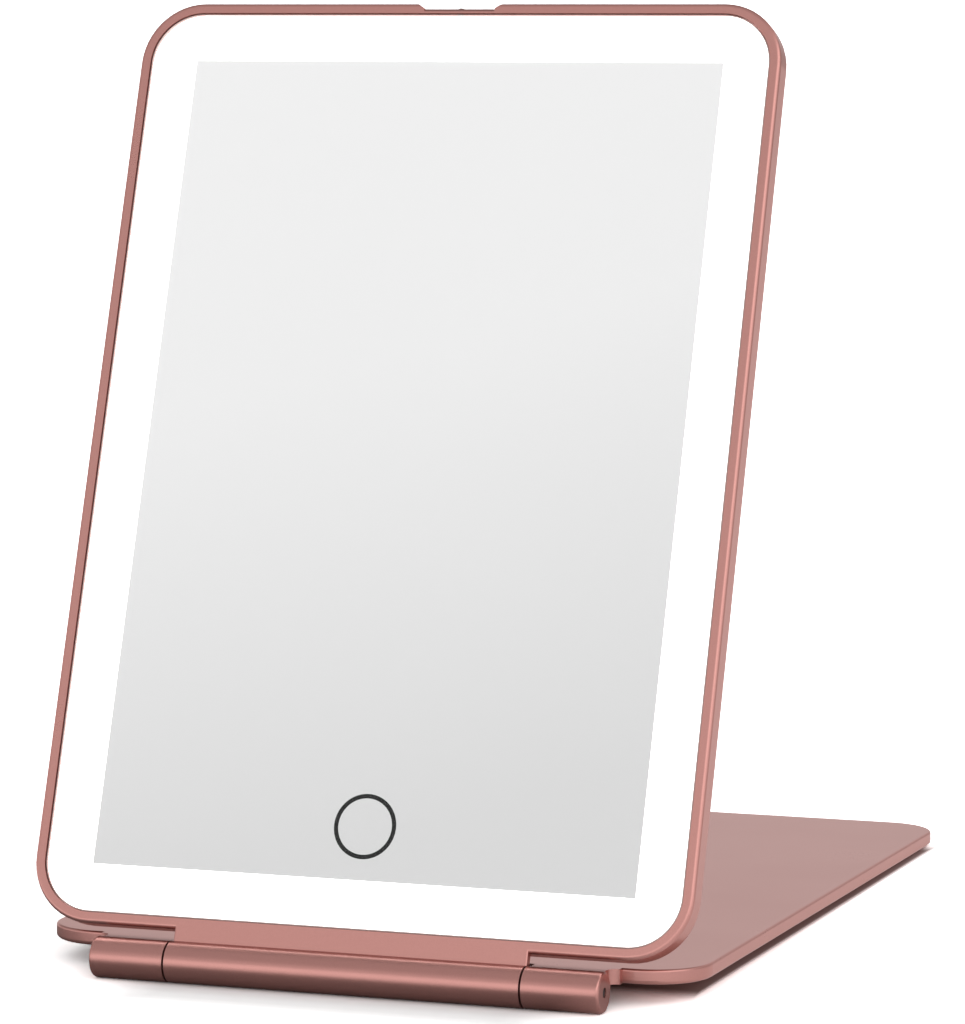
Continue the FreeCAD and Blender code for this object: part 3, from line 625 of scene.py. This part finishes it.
@dataclass(frozen=True)
class FloorFinish:
    """Matt white paper, exposed past white in the picture, with painted shade close to the object.

    Attributes:
        name: Plain name of the finish.
        shown: Tone of the paper in the picture.
        strips: Where shade is painted on it in the picture.
        thrown: Tone that the paper throws back into reflections, as painted shade close to the object and
            plain further off.
        right: How that tone changes to the right of the object.
        left: How it changes to the left.
        front: How it changes in front.
        back: How it changes behind.
        glow: Light that the paper further off adds in reflections.
    """

    FIBRES_PER_METRE: ClassVar[float] = 250.0
    FIBRE_LAYERS: ClassVar[float] = 2.0
    FIBRE_SHADE: ClassVar[float] = 0.985
    THROWN_ROUGHNESS: ClassVar[float] = 0.9

    name: str
    shown: float
    strips: tuple[PaintedShadeStrip, ...]
    thrown: tuple[float, float]
    right: Reach
    left: Reach
    front: Reach
    back: Reach
    glow: float

    def material(self) -> bpy.types.Material:
        """Build the finish as a node material.

        Returns:
            The new material.
        """
        material = bpy.data.materials.new(self.name)
        graph = Graph(material)
        fibres = graph.noise(0.0, even(self.FIBRES_PER_METRE), self.FIBRE_LAYERS)
        paper = graph.mix(fibres, even(self.shown), even(self.FIBRE_SHADE * self.shown))
        # Strips of painted shade and painted shadow darken the paper that the camera sees
        for strip in self.strips:
            paper = graph.mix(self._out_of(strip, graph), strip.tone, paper)
        shown = graph.add(
            "ShaderNodeBsdfPrincipled",
            {},
            {"Base Color": paper, "Roughness": 1.0, "Specular IOR Level": 0.0},
        )
        past_painted_shade = self._past_painted_shade(graph)
        # Reflections see painted shade on the paper close to the object, and plain paper further off
        painted_shade_tone, far_tone = self.thrown
        thrown = graph.add(
            "ShaderNodeBsdfPrincipled",
            {},
            {
                "Base Color": graph.mix(past_painted_shade, even(painted_shade_tone), even(far_tone)),
                "Roughness": self.THROWN_ROUGHNESS,
                "Emission Color": graph.mix(past_painted_shade, even(0.0), even(self.glow)),
                "Emission Strength": 1.0,
            },
        )
        camera_ray = graph.add("ShaderNodeLightPath", {}, {}, "Is Camera Ray")
        surface = graph.add("ShaderNodeMixShader", {}, {0: camera_ray, 1: thrown, 2: shown})
        graph.add("ShaderNodeOutputMaterial", {}, {"Surface": surface})
        return material

    @staticmethod
    def _across_and_along(graph: Graph) -> tuple[Socket, Socket]:
        """The two coordinates of a spot on the floor.

        Args:
            graph: The node tree of the floor.

        Returns:
            The place from left to right and the place from front to back.
        """
        spot = {"Vector": graph.place(0.0, even(1.0))}
        across = graph.add("ShaderNodeSeparateXYZ", {}, spot, "X")
        along = graph.add("ShaderNodeSeparateXYZ", {}, spot, "Y")
        return across, along

    @staticmethod
    def _larger(first: Socket, second: Socket) -> Socket:
        """The larger of two values."""
        return first.graph.add("ShaderNodeMath", {"operation": "MAXIMUM"}, {0: first, 1: second})

    def _out_of(self, strip: PaintedShadeStrip, graph: Graph) -> Socket:
        """How far a spot on the floor is out of a strip of painted shade.

        Args:
            strip: The strip.
            graph: The node tree of the floor.

        Returns:
            The share of the plain paper, from 0 in the strip to 1 outside it.
        """
        across, along = self._across_and_along(graph)
        offsets = (across - along * strip.slant - strip.middle[0], along - strip.middle[1])
        shares = []
        for offset, half, fade in zip(offsets, strip.half, strip.fade):
            gap = graph.add("ShaderNodeMath", {"operation": "ABSOLUTE"}, {0: offset})
            ends = {"Value": gap, "From Min": half, "From Max": half + fade}
            shares.append(graph.add("ShaderNodeMapRange", {"interpolation_type": "SMOOTHSTEP"}, ends))
        return self._larger(*shares)

    def _past_painted_shade(self, graph: Graph) -> Socket:
        """How far a spot on the floor is from the object's box, which sets the painted shade in
        reflections.

        Args:
            graph: The node tree of the floor.

        Returns:
            The share of the far tone, from 0 in the painted shade close to the object to 1 further off.
        """
        across, along = self._across_and_along(graph)
        side_edge, back_edge, _ = CAD_BOX[1]
        gaps = (
            (across - side_edge, self.right),
            (-side_edge - across, self.left),
            (-back_edge - along, self.front),
            (along - back_edge, self.back),
        )
        shares = []
        for gap, reach in gaps:
            ends = {"Value": gap, "From Min": reach.start, "From Max": reach.end, "To Max": reach.share}
            shares.append(graph.add("ShaderNodeMapRange", {}, ends))
        return reduce(self._larger, shares)


# Finishes that show from outside
ROSE_PAINT = Finish(
    "rose_satin_paint",
    (0.49, 0.228, 0.202),
    (0.52, 0.246, 0.218),
    Texture.FLAKE,
    pitch=0.00015,
    metallic=0.9,
    roughness=0.27,
    swing=0.02,
    relief=0.0000008,
    coat=0.3,
    edge_tint=(1.0, 0.8, 0.77),
)
# Ground edge of the pane, toned rose-brown as painted shade of the narrow gap beside the frame
PANE_EDGE_AND_GAP_SHADE = Finish(
    "ground_glass_edge_and_gap_shade",
    (0.46, 0.36, 0.34),
    (0.56, 0.45, 0.42),
    Texture.GRAIN,
    pitch=0.0004,
    roughness=0.55,
)
PANE_CLEAR = ClearFinish("clear_pane", even(0.95), cover=0.012, roughness=0.01)
SILVER = SilverFinish("silver_coating", even(0.955))
LIT_OPAL = LitFinish("lit_opal_sheet", (0.9, 0.9, 0.89), (1.0, 0.995, 0.985), strength=1.5, pitch=0.009)
RING_INK = Finish(
    "black_ring_print",
    even(0.008),
    even(0.016),
    Texture.GRAIN,
    pitch=0.0002,
    roughness=0.4,
    specular=0.05,
)
LENS_SMOKE = Finish(
    "smoked_lens",
    (0.05, 0.038, 0.035),
    (0.08, 0.06, 0.055),
    Texture.GRAIN,
    pitch=0.0004,
    roughness=0.15,
    coat=0.6,
)
PAD_RUBBER = Finish(
    "pad_silicone",
    (0.3, 0.17, 0.155),
    (0.36, 0.21, 0.19),
    Texture.GRAIN,
    pitch=0.0005,
    roughness=0.75,
    relief=0.00004,
)
# Black steel of the hinge pins, its darkness partly painted shade of the bores they sit in
DARK_PIN_AND_BORE_SHADE = Finish(
    "dark_pin_steel_and_bore_shade",
    (0.03, 0.026, 0.025),
    (0.055, 0.048, 0.046),
    Texture.BRUSHED,
    pitch=0.0002,
    metallic=0.7,
    roughness=0.45,
)
BRIGHT_STEEL = Finish(
    "bright_steel",
    (0.55, 0.55, 0.56),
    even(0.68),
    Texture.BRUSHED,
    pitch=0.0002,
    metallic=1.0,
    roughness=0.28,
)
SOCKET_CORE = Finish(
    "socket_tongue",
    (0.012, 0.012, 0.013),
    (0.78, 0.56, 0.2),
    Texture.CONTACTS,
    pitch=0.0005,
    roughness=0.4,
    relief=0.00002,
)

# Finishes inside the panel and the hinge
WHITE_BOARD = Finish(
    "white_board_coating",
    (0.86, 0.86, 0.83),
    (0.76, 0.75, 0.7),
    Texture.TRACES,
    pitch=0.004,
    roughness=0.32,
    coat=0.3,
)
GREEN_BOARD = Finish(
    "green_board_coating",
    (0.01, 0.09, 0.035),
    (0.03, 0.19, 0.08),
    Texture.TRACES,
    pitch=0.0025,
    roughness=0.3,
    coat=0.4,
)
LED_BODY = Finish(
    "light_phosphor",
    (0.86, 0.74, 0.28),
    (0.93, 0.86, 0.55),
    Texture.GRAIN,
    pitch=0.0005,
    roughness=0.38,
    coat=0.3,
)
CHIP_RESIN = Finish(
    "chip_resin",
    (0.012, 0.012, 0.013),
    (0.03, 0.03, 0.032),
    Texture.GRAIN,
    pitch=0.0003,
    roughness=0.6,
)
FERRITE = Finish(
    "coil_ferrite",
    (0.05, 0.05, 0.052),
    (0.09, 0.088, 0.085),
    Texture.GRAIN,
    pitch=0.0005,
    roughness=0.7,
)
TAPE_FOAM = Finish(
    "foam_tape",
    (0.7, 0.7, 0.66),
    (0.6, 0.6, 0.55),
    Texture.GRAIN,
    pitch=0.0006,
    roughness=0.85,
)
CELL_FOIL = Finish(
    "pouch_foil",
    (0.58, 0.59, 0.61),
    (0.7, 0.71, 0.72),
    Texture.CRINKLE,
    pitch=0.012,
    metallic=0.9,
    roughness=0.34,
)
RED_LEAD = Finish(
    "red_lead_sleeve",
    (0.45, 0.012, 0.01),
    (0.55, 0.03, 0.02),
    Texture.GRAIN,
    pitch=0.0006,
    roughness=0.35,
)
BLACK_LEAD = Finish(
    "black_lead_sleeve",
    even(0.012),
    even(0.03),
    Texture.GRAIN,
    pitch=0.0006,
    roughness=0.35,
)
WHITE_LEAD = Finish(
    "white_lead_sleeve",
    (0.8, 0.8, 0.77),
    (0.7, 0.7, 0.66),
    Texture.GRAIN,
    pitch=0.0006,
    roughness=0.4,
)
COPPER_FOIL = Finish(
    "copper_foil",
    (0.72, 0.3, 0.17),
    (0.8, 0.42, 0.26),
    Texture.BRUSHED,
    pitch=0.0003,
    metallic=1.0,
    roughness=0.3,
)
CONTACT_FOAM = Finish(
    "contact_foam",
    (0.04, 0.04, 0.045),
    (0.09, 0.09, 0.095),
    Texture.FLAKE,
    pitch=0.0003,
    roughness=0.9,
)
BRONZE = Finish(
    "bush_bronze",
    (0.42, 0.25, 0.1),
    (0.55, 0.36, 0.17),
    Texture.FLAKE,
    pitch=0.00015,
    metallic=1.0,
    roughness=0.4,
)

# The floor, with painted soft shade in front of the hinge and a painted close shadow, tinted rose, under
# the cover's right edge
PAINTED_HINGE_SHADE = PaintedShadeStrip(
    even(0.95),
    middle=(0.0, -0.121),
    half=(0.04, 0.005),
    fade=(0.035, 0.024),
)
PAINTED_EDGE_SHADOW = PaintedShadeStrip(
    (0.33, 0.25, 0.24),
    middle=(0.0655, 0.008),
    half=(0.0112, 0.091),
    fade=(0.0022, 0.012),
    slant=0.031,
)
FLOOR_PAPER = FloorFinish(
    "pale_floor",
    shown=2.4,
    strips=(PAINTED_HINGE_SHADE, PAINTED_EDGE_SHADOW),
    thrown=(0.24, 0.95),
    right=Reach(-0.03, 0.004, share=0.78),
    left=Reach(0.02, 0.15),
    front=Reach(0.012, 0.05),
    back=Reach(0.0, 0.05, share=0.78),
    glow=0.35,
)


class Workbench:
    """Modelling steps on one new mesh at a time, as by hand in edit mode."""

    @staticmethod
    def block(name: str, size: Vector, middle: Vector) -> bpy.types.Object:
        """Add a block at its size and place.

        Args:
            name: Name of the new piece.
            size: Lengths along the three axes.
            middle: Centre of the block.

        Returns:
            The new object.
        """
        if bpy.context.mode != "OBJECT":
            bpy.ops.object.mode_set(mode="OBJECT")
        bpy.ops.object.select_all(action="DESELECT")
        bpy.ops.mesh.primitive_cube_add(size=1.0, location=middle, scale=size)
        piece = bpy.context.object
        piece.name = name
        piece.data.name = name
        bpy.ops.object.transform_apply(location=True, rotation=True, scale=True)
        return piece

    @staticmethod
    def pick_edges(piece: bpy.types.Object, test: Callable[[Vector, Vector], bool]) -> None:
        """Select the edges whose two ends pass a test, and enter edit mode.

        Args:
            piece: The object whose edges are picked.
            test: Takes the two ends of an edge.
        """
        bpy.ops.object.mode_set(mode="EDIT")
        bpy.ops.mesh.select_mode(type="EDGE")
        bpy.ops.mesh.select_all(action="DESELECT")
        bpy.ops.object.mode_set(mode="OBJECT")
        mesh = piece.data
        for edge in mesh.edges:
            first, second = (mesh.vertices[index].co for index in edge.vertices)
            edge.select = test(first, second)
        bpy.ops.object.mode_set(mode="EDIT")

    @staticmethod
    def seat_on_panel(piece: bpy.types.Object) -> None:
        """Turn a piece modelled flat about the hinge into its place on the leaning panel.

        Args:
            piece: The object to place, with its place then put into its mesh.
        """
        bpy.ops.object.mode_set(mode="OBJECT")
        bpy.ops.object.select_all(action="DESELECT")
        piece.select_set(True)
        bpy.context.view_layer.objects.active = piece
        piece.location = frame["joints"][0]["pos_m"]
        piece.rotation_euler = (math.radians(PANEL_TURN_DEG), 0.0, 0.0)
        bpy.ops.object.transform_apply(location=True, rotation=True, scale=True)


def dress(node: str, material: bpy.types.Material) -> None:
    """Give one carried-over node its finish.

    Args:
        node: Name of the node.
        material: The finish for all its surfaces.
    """
    shape = frame["nodes"][node]
    shape.data.materials.clear()
    shape.data.materials.append(material)
    LOG.info("dressed %s in %s", node, material.name)


@dataclass
class MirrorPane:
    """The glass pane with its ground edge, whose colour carries painted shade of the gap.

    Attributes:
        width: Width of the pane.
        height: Height of the pane.
        thickness: Thickness of the glass, short of the silvering by a hair.
        low_edge: Distance from the hinge axis to the lower edge.
        front: Distance of the front from the plane through the hinge axis.
        corner: Radius of the corners.
        chamfer: Width of the ground edge.
        corner_steps: Straight steps in each corner.
        chamfer_steps: Facets across the ground edge.
        level: How squarely a face points to the front or back to count as clear glass.
    """

    width: float = 0.1548
    height: float = 0.2183
    thickness: float = 0.00105
    low_edge: float = 0.01015
    front: float = -0.0001
    corner: float = 0.0123
    chamfer: float = 0.00035
    corner_steps: int = 24
    chamfer_steps: int = 2
    level: float = 0.99

    def build(self, clear: bpy.types.Material) -> bpy.types.Object:
        """Model the pane lying flat and put it into the frame.

        Args:
            clear: The clear glass of the front and back.

        Returns:
            The finished piece.
        """
        size = Vector((self.width, self.height, self.thickness))
        middle = Vector((0.0, self.low_edge + self.height / 2, self.front - self.thickness / 2))
        pane = Workbench.block("mirror_pane", size, middle)
        Workbench.pick_edges(pane, lambda first, second: abs(first.z - second.z) > self.thickness / 2)
        bpy.ops.mesh.bevel(offset=self.corner, segments=self.corner_steps, affect="EDGES")
        Workbench.pick_edges(pane, self._is_front_edge)
        bpy.ops.mesh.bevel(offset=self.chamfer, segments=self.chamfer_steps, affect="EDGES")
        bpy.ops.object.mode_set(mode="OBJECT")
        pane.data.materials.append(clear)
        pane.data.materials.append(PANE_EDGE_AND_GAP_SHADE.material())
        clear_place, edge_place = 0, 1
        for face in pane.data.polygons:
            face.material_index = clear_place if abs(face.normal.z) > self.level else edge_place
        Workbench.seat_on_panel(pane)
        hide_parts("mirror_glass")
        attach(pane, PANEL_BODY)
        LOG.info("built %s", pane.name)
        return pane

    def _is_front_edge(self, first: Vector, second: Vector) -> bool:
        """True for the edges round the front of the pane."""
        close = self.thickness / 10
        return abs(first.z - self.front) < close and abs(second.z - self.front) < close


@dataclass
class MirrorPanel:
    """The leaning panel: housing, pane, lit border and touch ring.

    Attributes:
        pane: The glass pane.
    """

    pane: MirrorPane

    def build(self) -> None:
        """Model the pane, and give the glass that it replaces the same finish."""
        clear = PANE_CLEAR.material()
        self.pane.build(clear)
        dress("mirror_glass", clear)

    def dress(self, paint: bpy.types.Material) -> None:
        """Finish the panel's other carried-over pieces.

        Args:
            paint: The housing's paint.
        """
        dress("front_frame", paint)
        dress("rear_shell", paint)
        silver = SILVER.material()
        dress("mirror_silvering", silver)
        dress("touch_disc", silver)
        lit = LIT_OPAL.material()
        # The clear bond gets the glowing opal finish too: a painted glow for the border's light shining
        # through it
        dress("glass_bond", lit)
        dress("light_diffuser", lit)
        dress("touch_ring", RING_INK.material())
        dress("indicator_lens", LENS_SMOKE.material())


@dataclass
class LightAndPower:
    """The boards, lights, battery, leads and charging socket inside the panel."""

    def dress(self, steel: bpy.types.Material) -> None:
        """Finish the carried-over inner pieces.

        Args:
            steel: The bright steel of the screws and the socket.
        """
        dress("led_board", WHITE_BOARD.material())
        dress("leds", LED_BODY.material())
        dress("control_board", GREEN_BOARD.material())
        dress("control_chips", CHIP_RESIN.material())
        dress("driver_coil", FERRITE.material())
        dress("board_screws", steel)
        dress("charging_socket_shell", steel)
        dress("charging_socket_tongue", SOCKET_CORE.material())
        dress("battery_tape", TAPE_FOAM.material())
        dress("battery_cell", CELL_FOIL.material())
        dress("battery_lead_red", RED_LEAD.material())
        dress("battery_lead_black", BLACK_LEAD.material())
        dress("led_leads", WHITE_LEAD.material())
        dress("touch_electrode", COPPER_FOIL.material())
        dress("touch_contact", CONTACT_FOAM.material())


@dataclass
class StandCover:
    """The cover that is the foot, with its pads, pins and bushes."""

    def dress(self, paint: bpy.types.Material) -> None:
        """Finish the cover and the hinge.

        Args:
            paint: The cover's paint.
        """
        dress("cover_plate", paint)
        dress("cover_pads", PAD_RUBBER.material())
        # The pins' dark finish is partly painted shade of the hinge bores
        pin_and_bore_shade = DARK_PIN_AND_BORE_SHADE.material()
        dress("hinge_pin_left", pin_and_bore_shade)
        dress("hinge_pin_right", pin_and_bore_shade)
        bronze = BRONZE.material()
        dress("hinge_bush_left", bronze)
        dress("hinge_bush_right", bronze)


@dataclass
class Studio:
    """A pale floor under soft light from above.

    Attributes:
        floor_size: Width of the floor in metres.
        slope: Direction in which the slanted height of the surroundings is measured.
        sky: Brightness of the surroundings at that height, as position and brightness.
        back_tone: Share of that brightness behind the object.
        back_turn: Where the surroundings begin and end to fall to that share, from front to back.
        box_size: Width and height of the softbox.
        box_spot: Place of the softbox, in front and to the right.
        box_power: Power of the softbox in watts.
    """

    floor_size: float = 160.0
    slope: Triple = (-0.46, 0.0, 1.0)
    sky: tuple[tuple[float, float], ...] = (
        (0.0, 0.95),
        (0.12, 1.3),
        (0.3, 1.6),
        (0.5, 1.6),
        (0.56, 1.0),
        (0.587, 0.72),
        (0.61, 0.735),
        (0.695, 0.905),
        (0.755, 0.93),
        (0.81, 0.62),
        (0.95, 0.62),
    )
    back_tone: float = 0.5
    back_turn: tuple[float, float] = (-0.1, 0.5)
    box_size: tuple[float, float] = (2.4, 1.6)
    box_spot: Triple = (1.19, -1.04, 0.85)
    box_power: float = 5.0

    def build(self) -> None:
        """Lay the floor, light it and set the tones of the picture."""
        bpy.ops.object.select_all(action="DESELECT")
        bpy.ops.mesh.primitive_plane_add(size=self.floor_size)
        floor = bpy.context.object
        floor.name = "studio_floor"
        floor.data.materials.append(FLOOR_PAPER.material())
        bpy.ops.object.light_add(type="AREA", location=self.box_spot)
        softbox = bpy.context.object
        softbox.name = "softbox"
        softbox.rotation_euler = (-Vector(self.box_spot)).to_track_quat("-Z", "Y").to_euler()
        softbox.data.shape = "RECTANGLE"
        softbox.data.size, softbox.data.size_y = self.box_size
        softbox.data.energy = self.box_power
        self._surround()
        bpy.context.scene.view_settings.view_transform = "Standard"
        LOG.info("studio is lit")

    def _surround(self) -> None:
        """Shade the surroundings in bands, dim them behind, and show the camera plain white."""
        world = bpy.data.worlds.new("studio")
        bpy.context.scene.world = world
        graph = Graph(world)
        towards = graph.add("ShaderNodeTexCoord", {}, {}, "Generated")
        slanted = graph.add(
            "ShaderNodeVectorMath",
            {"operation": "DOT_PRODUCT"},
            {0: towards, 1: self.slope},
            "Value",
        )
        stops = [(position, even(tone)) for position, tone in self.sky]
        tone = graph.add("ShaderNodeValToRGB", {"stops": stops}, {"Fac": slanted})
        behind = graph.add("ShaderNodeSeparateXYZ", {}, {"Vector": towards}, "Y")
        front_end, back_end = self.back_turn
        share = graph.add(
            "ShaderNodeMapRange",
            {},
            {
                "Value": behind,
                "From Min": front_end,
                "From Max": back_end,
                "To Min": 1.0,
                "To Max": self.back_tone,
            },
        )
        dimmed = graph.add("ShaderNodeVectorMath", {"operation": "SCALE"}, {0: tone, "Scale": share})
        seen = graph.add("ShaderNodeLightPath", {}, {}, "Is Camera Ray")
        colour = graph.mix(seen, dimmed, even(1.0))
        light = graph.add("ShaderNodeBackground", {}, {"Color": colour, "Strength": 1.0})
        graph.add("ShaderNodeOutputWorld", {}, {"Surface": light})


@dataclass
class PhotoCamera:
    """A camera at the photograph's viewing angle.

    Attributes:
        azimuth_deg: Turn to the right of straight on.
        elevation_deg: Height above the horizon.
        roll_deg: Turn about the line of sight.
        distance: Distance from the target.
        target: The point in the middle of the picture.
        focal_px: Focal length in pixels of the picture.
        long_side_px: The picture's longer side.
        sensor: Width of the sensor in millimetres.
        nearest: Shortest distance that is shown.
        furthest: Longest distance that is shown.
    """

    azimuth_deg: float = 19.631
    elevation_deg: float = 6.5291
    roll_deg: float = -0.171
    distance: float = 1.0868927
    target: Triple = (0.0224928, -0.0833154, 0.1073405)
    focal_px: float = 4774.74
    long_side_px: float = 1024.0
    sensor: float = 36.0
    nearest: float = 0.01
    furthest: float = 400.0

    def build(self) -> None:
        """Add the camera and make it the scene's own."""
        azimuth = math.radians(self.azimuth_deg)
        elevation = math.radians(self.elevation_deg)
        level = math.cos(elevation)
        back = Vector((math.sin(azimuth) * level, -math.cos(azimuth) * level, math.sin(elevation)))
        bpy.ops.object.camera_add(location=Vector(self.target) + back * self.distance)
        camera = bpy.context.object
        camera.name = "photo_camera"
        level_aim = (-back).to_track_quat("-Z", "Y")
        roll = Quaternion((0.0, 0.0, 1.0), math.radians(self.roll_deg))
        camera.rotation_euler = (level_aim @ roll).to_euler()
        camera.data.sensor_width = self.sensor
        camera.data.lens = self.focal_px * self.sensor / self.long_side_px
        camera.data.clip_start = self.nearest
        camera.data.clip_end = self.furthest
        bpy.context.scene.camera = camera
        LOG.info("camera is at the photograph's view")


def main() -> None:
    """Build the camera, the object's pieces and the studio in order."""
    logging.basicConfig(level=logging.INFO, format="%(message)s")
    PhotoCamera().build()
    paint = ROSE_PAINT.material()
    steel = BRIGHT_STEEL.material()
    panel = MirrorPanel(MirrorPane())
    panel.build()
    panel.dress(paint)
    LightAndPower().dress(steel)
    StandCover().dress(paint)
    Studio().build()


if __name__ == "__main__":
    main()
